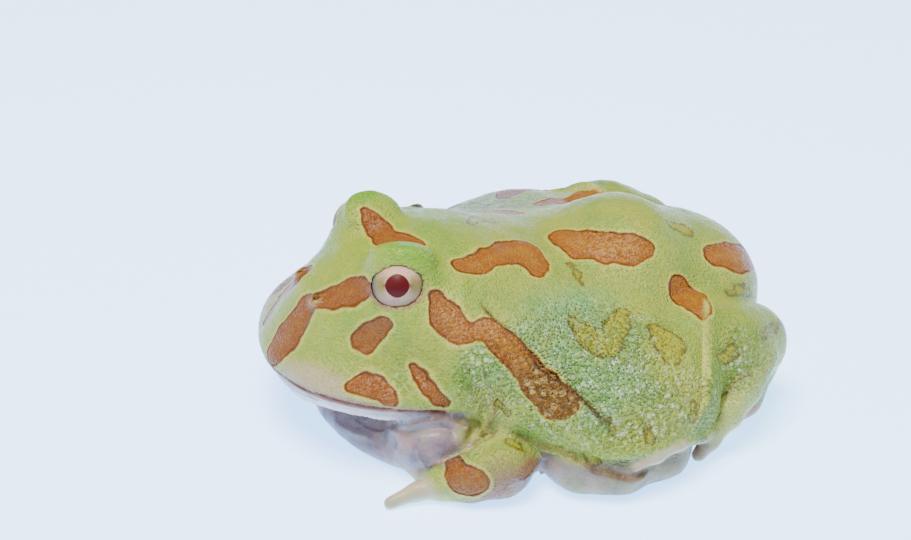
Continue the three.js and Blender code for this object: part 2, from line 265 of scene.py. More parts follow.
def skinMesh():
    step = grid["step"]
    low, high = grid["low"], grid["high"]
    half = int(math.ceil(high[0] / step)) + 2
    ySteps = int(math.ceil((high[1] - low[1]) / step))
    zSteps = int(math.ceil((high[2] - low[2]) / step))
    x = (np.arange(half) * step).astype(np.float32)
    y = (low[1] + np.arange(ySteps) * step).astype(np.float32)
    z = (low[2] + np.arange(zSteps) * step).astype(np.float32)
    p = np.meshgrid(x, y, z, indexing="ij")
    d = skinField(p).astype(np.float32)
    full = np.concatenate([d[:0:-1], d], axis=0)      # the right half mirrors the left
    volume = openvdb.FloatGrid(grid["background"])
    volume.copyFromArray(np.ascontiguousarray(full))
    points, triangles, quads = volume.convertToPolygons(isovalue=0.0, adaptivity=0.0)
    points = points.astype(np.float64) * step
    points += np.array([-(half - 1) * step, low[1], low[2]])
    faces = [tuple(int(v) for v in f[::-1]) for f in (*triangles, *quads)]
    return points, faces


def meshObject(name, points, faces):
    mesh = bpy.data.meshes.new(name)
    mesh.from_pydata((points * mm).tolist(), [], faces)
    mesh.validate()
    mesh.polygons.foreach_set("use_smooth", [True] * len(mesh.polygons))
    mesh.update()
    piece = bpy.data.objects.new(name, mesh)
    bpy.context.scene.collection.objects.link(piece)
    return piece


def vertexNormals(mesh):
    n = np.empty(len(mesh.vertices) * 3)
    mesh.vertex_normals.foreach_get("vector", n)
    return n.reshape(-1, 3)


# repeatable noise: every lattice point gets a number from its own whole-number place
def lattice(i, j, k, seed):
    h = (i * 374761393 + j * 668265263 + k * 2147483647 + seed * 974634777) & 0xFFFFFFFF
    h = ((h ^ (h >> 13)) * 1274126177) & 0xFFFFFFFF
    h = ((h ^ (h >> 16)) * 2246822519) & 0xFFFFFFFF
    return ((h ^ (h >> 15)) & 0xFFFFFF) / float(0xFFFFFF)


# where each kind of noise starts, so that no two are alike
seeds = {"uneven": 11, "fold": 31, "groove": 41, "wrinkle": 51, "pebble": 61, "pale": 71, "tone": 81,
         "over": 101}


def softNoise(p, size, seed):
    q = p / size
    base = np.floor(q).astype(np.int64)
    f = q - base
    f = f * f * (3 - 2 * f)
    total = np.zeros(len(p))
    for a, b, c in itertools.product((0, 1), repeat=3):
        weight = np.where(a, f[:, 0], 1 - f[:, 0]) * np.where(b, f[:, 1], 1 - f[:, 1])
        weight = weight * np.where(c, f[:, 2], 1 - f[:, 2])
        total += weight * lattice(base[:, 0] + a, base[:, 1] + b, base[:, 2] + c, seed)
    return total * 2 - 1


# distance to the nearest scattered point, as a share of the spacing
def pebble(p, size, seed):
    q = p / size
    base = np.floor(q).astype(np.int64)
    best = np.full(len(p), 9.0)
    for step in itertools.product((-1, 0, 1), repeat=3):
        cell = [base[:, i] + step[i] for i in range(3)]
        at = [cell[i] + 0.15 + 0.7 * lattice(*cell, seed + i) for i in range(3)]
        best = np.minimum(best, sum((q[:, i] - at[i]) ** 2 for i in range(3)))
    return np.sqrt(best)


def smooth(a, b, x):
    t = np.clip((x - a) / (b - a), 0, 1)
    return t * t * (3 - 2 * t)


# a round top on each pebble, 1 at its middle
def domes(p, grain, seed):
    return 1 - smooth(0.05, 0.62, pebble(p, grain, seed))


# 1 at the middle of a soft ball, 0 outside it
def within(p, centre, size):
    q = (p - np.array(centre)) / np.array(size)
    return 1 - smooth(0.35, 1.0, np.sqrt((q ** 2).sum(1)))


# the same points with the right side laid over the left
def folded(p):
    side = p.copy()
    side[:, 0] = np.abs(side[:, 0])
    return side


# nearest place on a line of points: distance, share of the way, offset and direction
def nearLine(p, path):
    path = np.array(path, float)[:, :3]
    runs = np.linalg.norm(path[1:] - path[:-1], axis=1)
    total = runs.sum()
    best = np.full(len(p), 1e9)
    share = np.zeros(len(p))
    offset = np.zeros_like(p)
    along = np.zeros_like(p)
    passed = 0.0
    for a, b, run in zip(path, path[1:], runs):
        d = (b - a) / run
        t = np.clip((p - a) @ d, 0, run)
        off = p - a - t[:, None] * d
        size = np.linalg.norm(off, axis=1)
        closer = size < best
        best = np.where(closer, size, best)
        share = np.where(closer, (passed + t) / total, share)
        offset[closer] = off[closer]
        along[closer] = d
        passed += run
    return best, share, offset, along


def taper(share, ends=0.18):
    return smooth(0, ends, share) * smooth(1, 1 - ends, share)


# the nearest place of each point of a line on the skin itself
def onSkin(path, probe=0.05, rounds=4):
    out = []
    for x, y, z, r in path:
        p = np.array([abs(x), y, z], float)
        for attempt in range(rounds):
            around = [p + np.array(d) * probe for d in ((0, 0, 0), (1, 0, 0), (0, 1, 0), (0, 0, 1))]
            d = skinField([np.array([q[i] for q in around]) for i in range(3)])
            slope = (d[1:] - d[0]) / probe
            p = p - slope * d[0] / max((slope ** 2).sum(), 0.2)
        out.append((math.copysign(p[0], x), p[1], p[2], r))
    return out


# folds step down on one side; "toward" points from the line to the raised side
folds = {
    "side": {
        "path": [(16.9, -13.7, 28.6), (20.4, -12.8, 26.6), (23, -11.1, 25.2), (25.5, -8.9, 23.4),
                 (27.4, -7.9, 21.6), (29.5, -7.2, 19.9), (31.1, -5.7, 18.9), (32.8, -4.1, 18.4),
                 (35.5, -2.5, 17.2), (39.3, -0.4, 14.4), (40.9, 1.1, 12.7)],
        "toward": (0.2, 0.75, 0.6), "raise": 0.85, "drop": 0.65, "wide": 3.4, "narrow": 2.2,
    },
    "flankHem": {
        "path": [(31.8, -14.3, 10.9), (35.3, -9, 8.8), (39.3, -5.2, 8.4), (41.9, -2.3, 6.6),
                 (43.9, 1.6, 5.4), (44.4, 5.1, 5), (43.6, 9, 5.4)],
        "toward": (0.2, 0.2, 1), "raise": 0.7, "drop": 0.6, "wide": 3, "narrow": 1.8,
    },
    "rearEdge": {
        "path": [(19.6, 28.2, 22), (23.2, 26.6, 22), (28.2, 24.4, 20.3), (32.5, 22.4, 18.1),
                 (36.9, 20.3, 16.2), (39.4, 19, 14.1), (41.1, 17.4, 12), (41.8, 16.6, 10)],
        "toward": (0.35, -0.9, 0.1), "raise": 0.5, "drop": 1.3, "wide": 2, "narrow": 4.5, "ends": 0.3,
    },
    "elbow": {
        "path": [(37.4, -15.6, 5.2), (38, -12.6, 5), (37.4, -9.6, 5.6), (36, -7.4, 6.2)],
        "toward": (0, 0, -1), "raise": 0.5, "drop": 0.7, "wide": 1.2, "narrow": 1.4,
    },
    "jawEdge": {
        "path": [(2, -46.4, 11.2), (12, -43.9, 10.6), (20, -38.2, 10), (25.6, -30, 9.4),
                 (27.8, -22, 9)],
        "toward": (0.2, -0.2, 1), "raise": 0.3, "drop": 0.5, "wide": 1.6, "narrow": 2,
    },
}
foldReach = (5, 9)           # a fold fades between these distances from its line
foldWaver = {"size": 3.5, "amount": 0.35}
grooveWaver = {"size": 3, "amount": 0.3}

# depth, width and line of each groove
grooves = {
    "shoulderA": (0.85, 0.8, [(25, -19, 22.7), (28.3, -19.3, 17.8), (28.8, -17.7, 11.7)]),
    "shoulderB": (0.7, 0.75, [(26.6, -16.6, 21.8), (29.4, -16.2, 17), (30.6, -15.4, 12)]),
    "shoulderC": (0.55, 0.65, [(28.4, -14.4, 20), (30.6, -13.9, 16.4), (32, -13, 13.2)]),
    "shoulderD": (0.5, 0.7, [(24, -21.4, 20.6), (27.4, -21.8, 16.8), (28.6, -20.9, 13)]),
    "mouthCorner": (0.6, 0.8, [(28, -24.5, 13.3), (29, -21.2, 12), (29.4, -18.8, 9.8)]),
    "throatA": (1, 0.75, [(27.4, -20.2, 14.6), (26.2, -23.9, 12), (23.6, -26.1, 8.6), (22, -29.4, 7),
                          (20.6, -32.6, 4.6)]),
    "throatB": (1, 0.75, [(28.7, -18.7, 12.9), (27.9, -20.7, 8.6), (28.4, -24, 5)]),
    "throatC": (1, 0.75, [(30.1, -15, 15.6), (30.5, -15.9, 13), (30.6, -17.9, 10), (30.4, -20.4, 6.6)]),
    "armTop": (0.9, 0.6, [(28.6, -28, 4.6), (32.4, -24.4, 6.6), (33.5, -21.6, 8.7), (32.9, -19.2, 9.5),
                          (31.8, -16.9, 9.9), (31.5, -15.1, 11.3)]),
    "footTop": (0.5, 0.6, [(33.9, 30.9, 14), (34.3, 28.5, 12.8), (34.2, 26.7, 11), (37.1, 22.6, 9),
                           (38.6, 19.6, 6)]),
    "throatD": (0.4, 0.7, [(8.1, -38.6, 3.1), (15.1, -36.2, 4.5), (19.8, -32.6, 5.2)]),
    "neck": (0.3, 1.2, [(12.5, -14.5, 31), (17, -16.6, 29.4), (20.4, -17.6, 26.8)]),
    "kneeFold": (0.6, 0.9, [(30.6, 31.8, 12), (31.6, 28, 8.6), (33.4, 24, 6)]),
}
# middle, reach, direction across the wrinkles, spacing and depth
wrinkles = {
    "shoulder": ((28.5, -18, 16.5), (6, 5.5, 8), (0.1, 1, 0.25), 2.1, 0.42),
    "elbow": ((32, -9.5, 6), (5, 4.5, 5), (0.2, 1, 0.5), 1.5, 0.3),
    "throat": ((24, -29, 5.5), (9, 9, 5.5), (0.9, 0.5, -0.2), 4.2, 0.22),
    "belly": ((41, 4, 4), (7, 14, 4), (0, 1, 0.3), 2.6, 0.16),
    "shank": ((31, 31, 11), (6, 8, 8), (0.1, 0.5, 1), 2.4, 0.14),
}
# middle, reach, size and height of the raised grains
pebbles = {
    "band": ((33, -6.5, 17), (9, 9, 9), 1.5, 0.6),
    "flank": ((38, 8, 13), (10, 20, 10), 1.6, 0.22),
    "shoulder": ((27, -16, 19), (7, 7, 9), 1.4, 0.2),
    "leg": ((31, 31, 14), (8, 10, 8), 1.5, 0.1),
}
unevenness = {"broad": (9.0, 0.32), "middle": (4.0, 0.16), "fine": (1.8, 0.06)}      # size, height


def settled(path):
    return [q[:3] for q in onSkin([(*q, 0) for q in path])]


for fold in folds.values():
    fold["path"] = settled(fold["path"])
for name, (depth, width, path) in grooves.items():
    grooves[name] = (depth, width, settled(path))


# how far each point of the skin moves out along its own direction, in mm
def relief(p, n):
    side = folded(p)
    facing = n.copy()
    facing[:, 0] *= np.where(p[:, 0] < 0, -1, 1)
    height = np.zeros(len(p))
    for i, (size, amount) in enumerate(unevenness.values()):
        height += amount * softNoise(p, size, seeds["uneven"] + i)
    waver = foldWaver["amount"] * softNoise(side, foldWaver["size"], seeds["fold"])
    for fold in folds.values():
        reach, share, offset, along = nearLine(side, fold["path"])
        across = np.cross(facing, along)
        across /= np.maximum(np.linalg.norm(across, axis=1), 1e-6)[:, None]
        across *= np.sign(across @ np.array(fold["toward"]))[:, None]
        s = (offset * across).sum(1) + waver
        up = fold["raise"] * np.exp(-np.maximum(s, 0) / fold["wide"])
        down = -fold["drop"] * np.exp(np.minimum(s, 0) / fold["narrow"])
        step = np.where(s > 0, up, down) * smooth(0, 0.35, np.abs(s))
        height += step * taper(share, fold.get("ends", 0.18)) * (1 - smooth(*foldReach, reach))
    wavering = side + grooveWaver["amount"] * softNoise(side, grooveWaver["size"], seeds["groove"])[:, None]
    for depth, width, path in grooves.values():
        reach, share, offset, along = nearLine(wavering, path)
        cut = np.exp(-(reach / width) ** 2)
        lip = np.exp(-((reach - 2.1 * width) / (1.3 * width)) ** 2)
        height += depth * (0.35 * lip - cut) * taper(share, 0.3)
    sway = (0.45, softNoise(side, 4.0, seeds["wrinkle"])), (0.2, softNoise(side, 1.7, seeds["wrinkle"] + 1))
    for centre, size, across, spacing, depth in wrinkles.values():
        across = np.array(across) / np.linalg.norm(across)
        wave = side @ across / spacing
        for amount, noise in sway:
            wave = wave + amount * noise
        ridge = np.abs((wave % 1.0) * 2 - 1)
        height += depth * (smooth(0.0, 0.55, ridge) - 0.75) * within(side, centre, size)
    for i, (centre, size, grain, rise) in enumerate(pebbles.values()):
        near = within(side, centre, size)
        spots = np.flatnonzero(near > 0.01)
        height[spots] += rise * domes(p[spots], grain, seeds["pebble"] + 3 * i) * near[spots]
    return height


def fromPoint(p, point):
    return np.linalg.norm(p - np.array(point), axis=1)


# the lips, the rims of the eyes and nostrils and what lies on the floor stay plain
def calm(p):
    side = folded(p)
    lips = np.abs(side[:, 2] - mouthZ(side[:, 1]))
    keep = np.where(side[:, 1] < jaw["corner"] + 1, smooth(0.5, 2.2, lips), 1)
    keep = keep * smooth(0.5, 1.8, fromPoint(side, eye["centre"]) - eye["radius"])
    keep = keep * smooth(1.2, 2.2, fromPoint(side, nostril["at"]))
    return keep * smooth(0.15, 1.6, side[:, 2])


points, faces = skinMesh()
skin = meshObject("frog_skin", points, faces)
normals = vertexNormals(skin.data)
lift = relief(points, normals) * calm(points)
shaped = points + normals * lift[:, None]
shaped[:, 2] = np.maximum(shaped[:, 2], 0)
skin.data.vertices.foreach_set("co", (shaped * mm).ravel())
skin.data.update()
print("skin shaped,", len(points), "points")


# markings, as lines of points with a radius; each lies on the skin
brownSpots = {
    "betweenEyes": [(-6, -26.2, 36.4, 0.8), (-4.6, -25.6, 35, 1.2), (-2.4, -24.8, 33.6, 1.7),
                    (0.2, -24.4, 32.9, 2), (3, -22.4, 32.9, 1.9), (4.4, -20.6, 32.9, 1.3)],
    "farSnout": [(-3.9, -38.1, 27.6, 0.8), (-4.6, -39.9, 26.2, 1.2), (-6.5, -41.4, 23.6, 1.8),
                 (-7.6, -42.9, 20.5, 2), (-5.3, -45.4, 18, 1.2)],
    "nearSnout": [(4.6, -46.6, 16.9, 2.2), (4.6, -44.5, 19.5, 2.4), (4.5, -42.4, 22.3, 2.2),
                  (3.9, -40.7, 24.8, 2)],
    "nostrilBand": [(5.7, -38.8, 27, 1.2), (7.2, -36.1, 27.5, 1.8), (8.5, -33.5, 28.7, 2.1),
                    (9.7, -31.6, 29.4, 2)],
    "underEye": [(14.3, -33.8, 22.7, 1.6), (15.3, -33.3, 22.2, 1.2), (15.2, -32.1, 23.9, 1.6),
                 (15.8, -29.8, 25.9, 1)],
    "lipDome": [(19.7, -37.3, 17.3, 0.8), (20.1, -35.3, 18, 1.5), (21.6, -33.8, 17.8, 1.5),
                (23.7, -32.6, 17, 1.2), (24.9, -31.6, 16.1, 0.6)],
    "cheekStreak": [(21.7, -27.1, 20.3, 0.5), (23.3, -26.4, 19, 0.7), (25.2, -25.7, 17.8, 0.8),
                    (26.8, -24.6, 16.5, 0.7), (27.4, -23.3, 15.4, 0.7)],
    "behindEye": [(16.6, -20.9, 29.1, 1.3), (19.1, -20.3, 27, 2.3), (21.3, -18.9, 25.4, 2),
                  (22.6, -17.6, 24.7, 1.2)],
    "sideBand": [(22.2, -17.1, 25.2, 1.2), (22.7, -14.1, 25.3, 1.5), (25.8, -12, 23.3, 2),
                 (28, -9.9, 21, 2.2), (30.9, -7.8, 18.2, 2.6), (34, -6.1, 16.4, 2.8),
                 (35.2, -4.8, 16.1, 1.9)],
    "backBar": [(10.8, -14.3, 31.5, 1.5), (10.6, -11.3, 31, 1.7), (8.4, -7.9, 30.7, 1.9),
                (6.5, -3.8, 29.8, 2.6), (6.3, -1, 28.9, 3), (8.7, -0.2, 28.2, 2.3),
                (11.2, -0.9, 27.7, 1.3)],
    "backEllipse": [(2, 8, 28.2, 2), (5.7, 10.1, 28.3, 2.7), (8.8, 13.6, 28.4, 2.7),
                    (10.7, 17.6, 28.4, 2.4), (11.1, 20.4, 28.3, 1.6)],
    "farStreak": [(-20.3, 13.2, 23.4, 1.5), (-22.2, 18.6, 22.6, 2), (-22.9, 23.2, 22.4, 2),
                  (-22.3, 25.5, 22.4, 1.5)],
    "rump": [(10.4, 35.2, 23.7, 2.2), (9.7, 39.6, 22.2, 3), (7.3, 43.6, 20, 2.6)],
    "rearFlank": [(16.6, 25.2, 22.7, 2), (18.3, 25.8, 22.3, 2.8), (22.7, 25.3, 22.1, 1.7),
                  (25.3, 25.3, 21.6, 0.9)],
    "armPatch": [(34.6, -24.4, 7, 1.9), (36.4, -23.4, 5.6, 2.5), (37.4, -21.6, 5.4, 1.9)],
    "rightSnout": [(-10.5, -40.5, 20, 1.6), (-12.5, -38, 21.5, 2.2), (-12.6, -35.4, 23.8, 1.8)],
    "rightLip": [(-15, -41, 17, 1), (-17.5, -39, 17.8, 1.7), (-19.8, -37, 17.2, 1.4)],
    "rightUnderEye": [(-16, -31.5, 23.5, 1.4), (-18.6, -30, 21.6, 2), (-20.6, -28, 19.6, 1.2)],
    "rightBehindEye": [(-17, -19.5, 28.5, 1.4), (-20.5, -17.5, 25.6, 2.4), (-23.5, -15, 23.4, 2)],
    "rightSideBand": [(-27.5, -10.5, 21.5, 1.8), (-31, -8, 18.5, 2.6), (-34.5, -4.5, 17, 2.6),
                      (-38, 1.5, 15, 2)],
    "rightBack": [(-12, -9, 29.5, 1.4), (-15.5, -4, 27.5, 2.4), (-16, 1.5, 26, 2.6),
                  (-13.5, 5, 26.5, 1.6)],
    "rightFlank": [(-28, 9, 21, 1.6), (-32.5, 12.5, 19.5, 2.6), (-34.5, 17.5, 18, 2.2)],
    "rightRump": [(-8, 33, 25.5, 1.8), (-12, 36.5, 22.5, 2.6), (-14.5, 38.5, 19.5, 1.6)],
    "rightLeg": [(-33, 25.5, 16.5, 1.2), (-33, 29, 16, 1.6), (-30.5, 33, 16.5, 1.2)],
    "rightArm": [(-35, -23, 7.2, 1.3), (-37, -21, 6.2, 1.7), (-37.4, -18.5, 6.4, 1.2)],
}
# the olive and yellow marks, drawn in the same way
paleSpots = {
    "armDot": [(34.2, -14.4, 10.2, 0.9), (35, -12.9, 9.4, 1.1)],
    "shoulderDot": [(30.3, -15, 15.3, 0.6), (31.3, -13.8, 14.1, 0.7)],
    "flankDotA": [(39.2, 1.1, 14.5, 0.4), (40.6, 1.5, 12.9, 0.6)],
    "flankDotB": [(41.3, 7.3, 13.1, 0.5), (43.2, 7.1, 11.2, 0.9)],
    "flankDotC": [(40.9, -3, 8.7, 0.8), (41.5, -1.6, 7.7, 0.7)],
    "legPatch": [(32.6, 25.1, 17, 1), (32.5, 27.6, 17.6, 1.2)],
    "legBarA": [(17.2, 34.9, 19.6, 0.6), (15.9, 38.1, 19.1, 0.8), (15.1, 40.7, 17.5, 0.8)],
    "smallBack": [(-3.1, -7.5, 31.5, 0.9), (-6, -4.8, 30, 1.2), (-5.6, -2.9, 29.6, 1.4)],
    "farDotsA": [(-25.6, -1.4, 23.2, 0.9), (-24.6, 2, 23, 1.1)],
    "farDotsB": [(-20.6, 6.2, 23.6, 1.1), (-19.1, 10, 23.8, 1.2)],
    "netA": [(21.5, 1.9, 23.2, 0.8), (25.8, 3.4, 21.7, 2.4), (28, 5.3, 21.2, 2.7),
             (24.4, 9.3, 22.3, 2), (21.7, 11.3, 22.9, 1.1)],
    "netB": [(26.6, 15.5, 21.6, 1.2), (30.2, 16.1, 20.8, 2.9), (33.1, 15.5, 19.9, 1.8)],
    "yellowStreak": [(9.3, 6.6, 26.8, 0.4), (11.9, 6.9, 26.1, 0.5), (14.7, 6.7, 25.4, 0.3)],
    "yellowRear": [(5.3, 28.5, 28.5, 1.2), (5.2, 31.5, 26.9, 1.5)],
    "edgeDot": [(40.3, 16.6, 14.2, 0.9), (41.2, 16.3, 12.7, 0.9)],
    "legBarB": [(30.6, 34.4, 18.7, 0.5), (27.8, 38, 17.5, 0.6), (25.5, 40.6, 16.7, 0.6)],
    "rightNet": [(-24, 3, 22.4, 1), (-27, 0, 21.4, 2.2), (-29.5, -2.5, 20.2, 1.4)],
    "rightDot": [(-37.5, 9, 16.5, 1), (-39, 6.5, 15.5, 1.3)],
}
# soft areas of colour: middle, reach, colour as seen, share; the mirror image of each also counts
tones = {
    "head": ((6, -30, 28), (26, 20, 16), (0.63, 0.70, 0.17), 0.9),
    "cheek": ((22, -28, 19), (10, 13, 10), (0.56, 0.61, 0.14), 0.8),
    "crown": ((8, -16, 32), (14, 12, 8), (0.56, 0.70, 0.20), 0.7),
    "hood": ((12.5, -26, 36), (7, 8, 5), (0.46, 0.70, 0.08), 1),
    "mint": ((24, 2, 24), (13, 15, 10), (0.48, 0.71, 0.43), 1),
    "mintLow": ((34, 2, 17), (12, 14, 9), (0.49, 0.71, 0.40), 0.8),
    "shoulder": ((27, -15, 20), (9, 9, 8), (0.50, 0.72, 0.36), 0.7),
    "flankLow": ((42, 6, 9), (9, 22, 7), (0.64, 0.70, 0.24), 0.9),
    "rearEdge": ((38, 18, 14), (6, 6, 12), (0.76, 0.76, 0.28), 0.8),
    "leg": ((30, 34, 14), (12, 12, 12), (0.60, 0.68, 0.22), 0.8),
    "upperLip": ((14, -40, 15.8), (18, 18, 2.7), (0.78, 0.70, 0.56), 0.85),
    "arm": ((33, -15, 9), (9, 10, 6), (0.58, 0.65, 0.20), 0.8),
    "armLow": ((38, -15, 1), (10, 14, 11), (0.60, 0.40, 0.32), 1),
    "pouchTop": ((29, -17, 12), (6, 7, 7), (0.76, 0.76, 0.34), 0.85),
    "roll": ((41, 4, 2), (10, 22, 6.5), (0.62, 0.60, 0.44), 1),
    "footLow": ((34, 28, 2.5), (12, 14, 7), (0.72, 0.44, 0.38), 1),
}
cloudlessTones = ("armLow", "footLow", "roll", "upperLip")      # no green clouds over these
mintOnTheRight = 0.25
# these lie over the pale underside
overTones = {
    "lipBand": ((12, -34, 11.2), (24, 20, 3.4), (0.82, 0.77, 0.76), 0.9),
    "pleats": ((30.2, -17, 12.8), (5.8, 7, 8), (0.72, 0.74, 0.34), 0.9),
    "rollSide": ((41, 4, 3), (10, 24, 6), (0.56, 0.50, 0.34), 0.85),
    "armRed": ((37.6, -12.5, 6.6), (3, 6, 1.8), (0.58, 0.32, 0.24), 0.95),
    "armRidge": ((38.4, -11.5, 4.4), (4, 7, 1.8), (0.72, 0.62, 0.58), 0.8),
}
baseTone = (0.64, 0.70, 0.25)
paleTone = (0.59, 0.495, 0.525)
toeTone = (0.80, 0.74, 0.58)
wedgeTone = (0.78, 0.80, 0.46)       # the outer edge of the shank
behindTone = (0.46, 0.58, 0.15)      # the shadowed skin behind the flank
# the mint area that gets painted glints and rougher grain
glintArea = ((29, 1, 19), (17, 22, 13))
mouthEnd = 30                        # the lip line stops at this distance from the middle
markBlend = 1.2

# share and width of the lines along folds and grooves: dark painted shade along the bottoms of folds and
# grooves, and a pale line on the rear edge
foldShadeLines = {"side": (0.95, 0.45), "flankHem": (0.7, 0.3), "elbow": (0.7, 0.4)}
edgeLines = {"rearEdge": (0.9, 0.25)}
grooveShadeLines = dict.fromkeys(["shoulderA", "shoulderB", "shoulderC"], (0.35, 0.25))
for name in ("throatA", "throatB", "throatC", "armTop", "footTop", "mouthCorner"):
    grooveShadeLines[name] = (0.6, 0.36)


def markingDistance(p, markings):
    best = np.full(len(p), 9.0)
    for path in markings.values():
        best = np.minimum(best, chain(p.T, onSkin(path), markBlend))
    return best


# a colour as seen, in the numbers that the shader takes
def spread(color):
    return [((c + 0.055) / 1.055) ** 2.4 if c > 0.04045 else c / 12.92 for c in color]


# how much of the pale underside shows
def underside(p, n):
    columns = folded(p).T
    wave = softNoise(p, 4.0, seeds["pale"]) * 0.8 + softNoise(p, 1.6, seeds["pale"] + 1) * 0.4
    rest = np.minimum(np.minimum(torsoField(columns), armField(columns)), legField(columns))
    jawPart = smooth(0.5, -0.5, jawField(columns) - rest + 0.3 * wave)
    jawPart *= smooth(0.5, -0.5, p[:, 2] - mouthZ(p[:, 1]) + 0.1 * wave)
    jawPart *= smooth(-12.0, -23.0, p[:, 1] + 2 * wave)
    bellyPart = smooth(3.6, 1.6, p[:, 2] + wave) * smooth(0.3, -0.3, n[:, 2])
    rollDepth = chain(columns, belly["roll"], belly["rollBlend"]) - masses(columns, body)
    rollPart = 0.8 * smooth(0.6, -0.4, rollDepth + 0.3 * wave) * smooth(8.5, 6.5, p[:, 2])
    return np.clip(np.maximum(np.maximum(jawPart, bellyPart), rollPart), 0, 1)


# how much of the translucent toe skin shows
def toeShare(side):
    near = np.full(len(side), 9.0)
    ends = arm["fingers"] + [path[-3:] for path in leg["toes"][1:]] + [leg["toes"][0][-2:]]
    for path in ends:
        near = np.minimum(near, chain(side.T, path, digitBlend))
    return smooth(0.7, 0.0, near)


# the strip of the shank just behind the edge of the flank
def behindEdge(side):
    fold = folds["rearEdge"]
    toward = np.array(fold["toward"]) / np.linalg.norm(fold["toward"])
    reach, share, offset, along = nearLine(side, fold["path"])
    return smooth(0.1, -0.5, offset @ toward) * smooth(9.0, 3.0, reach) * smooth(0.05, 0.25, share)


def paint(p, n):
    side = folded(p)
    color = np.tile(spread(baseTone), (len(p), 1))
    plain = np.zeros(len(p))

    def lay(shade, share):
        color[:] += (np.array(spread(shade)) - color) * share[:, None]

    for i, (name, (centre, size, shade, amount)) in enumerate(tones.items()):
        ragged = side + 1.5 * softNoise(p, 6.0, seeds["tone"] + i)[:, None]
        share = within(ragged, centre, size) * amount
        if name == "mint":
            share = share * np.where(p[:, 0] < 0, mintOnTheRight, 1)
        if name in cloudlessTones:
            plain = np.maximum(plain, share)
        lay(shade, share)
    lay(wedgeTone, 0.85 * smooth(1.0, -0.6, chain(side.T, leg["toes"][0])))
    lay(behindTone, 0.8 * behindEdge(side))
    toes = toeShare(side)
    lay(toeTone, toes)
    pale = underside(p, n) * (1 - 0.85 * toes)
    plain = np.maximum(plain, np.maximum(pale, toes))
    lay(paleTone, pale)
    for i, (centre, size, shade, amount) in enumerate(overTones.values()):
        ragged = side + 0.8 * softNoise(p, 3.0, seeds["over"] + i)[:, None]
        share = within(ragged, centre, size) * amount
        plain = np.maximum(plain, share)
        lay(shade, share)
    return color, pale, toes, plain


# lines along folds and grooves: painted shade along their bottoms, or the pale edge line
def lineShare(side, lines, paths):
    wavering = side + foldWaver["amount"] * softNoise(side, foldWaver["size"], seeds["fold"])[:, None]
    share = np.zeros(len(side))
    for name, (amount, width) in lines.items():
        reach, way, offset, along = nearLine(wavering, paths[name])
        line = amount * smooth(2.2 * width, 0.4 * width, reach) * taper(way, 0.12)
        share = np.maximum(share, line)
    return share


# a number or a colour for each point of a mesh, which its material reads by name
def keepValues(mesh, name, values):
    kind, field = ("FLOAT", "value") if values.ndim == 1 else ("FLOAT_COLOR", "color")
    if values.ndim > 1:
        values = np.concatenate([values, np.ones((len(values), 1))], axis=1)
    mesh.attributes.new(name, kind, "POINT").data.foreach_set(field, values.astype(np.float32).ravel())


side = folded(points)
foldPaths = {name: fold["path"] for name, fold in folds.items()}
groovePaths = {name: path for name, (depth, width, path) in grooves.items()}
bandMiddle, bandReach, bandGrain, bandHeight = pebbles["band"]
color, pale, toes, plain = paint(points, normals)
mouthLine = np.abs(points[:, 2] - mouthZ(points[:, 1]))
lips = smooth(1.0, 0.35, mouthLine) * smooth(jaw["corner"] + 1.5, jaw["corner"] - 1, points[:, 1])
eyeRing = fromPoint(side, eye["centre"]) - eye["radius"]
lowerLid = smooth(2.2, -0.5, side[:, 2] - eye["centre"][2])
marks = {
    "tone": color,
    "pale": pale,
    "plain": plain,
    "toe": toes,
    "brown": markingDistance(points, brownSpots),
    "olive": markingDistance(points, paleSpots),
    "ruddy": smooth(-12, -26, points[:, 1]),
    "knob": domes(points, bandGrain, seeds["pebble"]),
    "knobArea": within(side, bandMiddle, bandReach),
    "granule": np.clip(sum(within(side, at, size) for at, size, grain, rise in pebbles.values()), 0, 1),
    "glint": within(side, *glintArea),
    "lip": 0.85 * (lips * (side[:, 0] < mouthEnd)),
    "lid": smooth(1.3, 0.3, eyeRing) * (0.15 + 0.6 * lowerLid),
    "nostril": smooth(1.7, 1.1, fromPoint(side, nostril["at"])),
    "crease": lineShare(side, foldShadeLines, foldPaths),
    "edge": lineShare(side, edgeLines, foldPaths),
    "grooveShade": lineShare(side, grooveShadeLines, groovePaths),
    # painted shade: skin that faces sideways or down is darkened
    "paintedShade": smooth(0.75, -0.15, normals[:, 2]),
}
for name, values in marks.items():
    keepValues(skin.data, name, values)
print("markings laid")


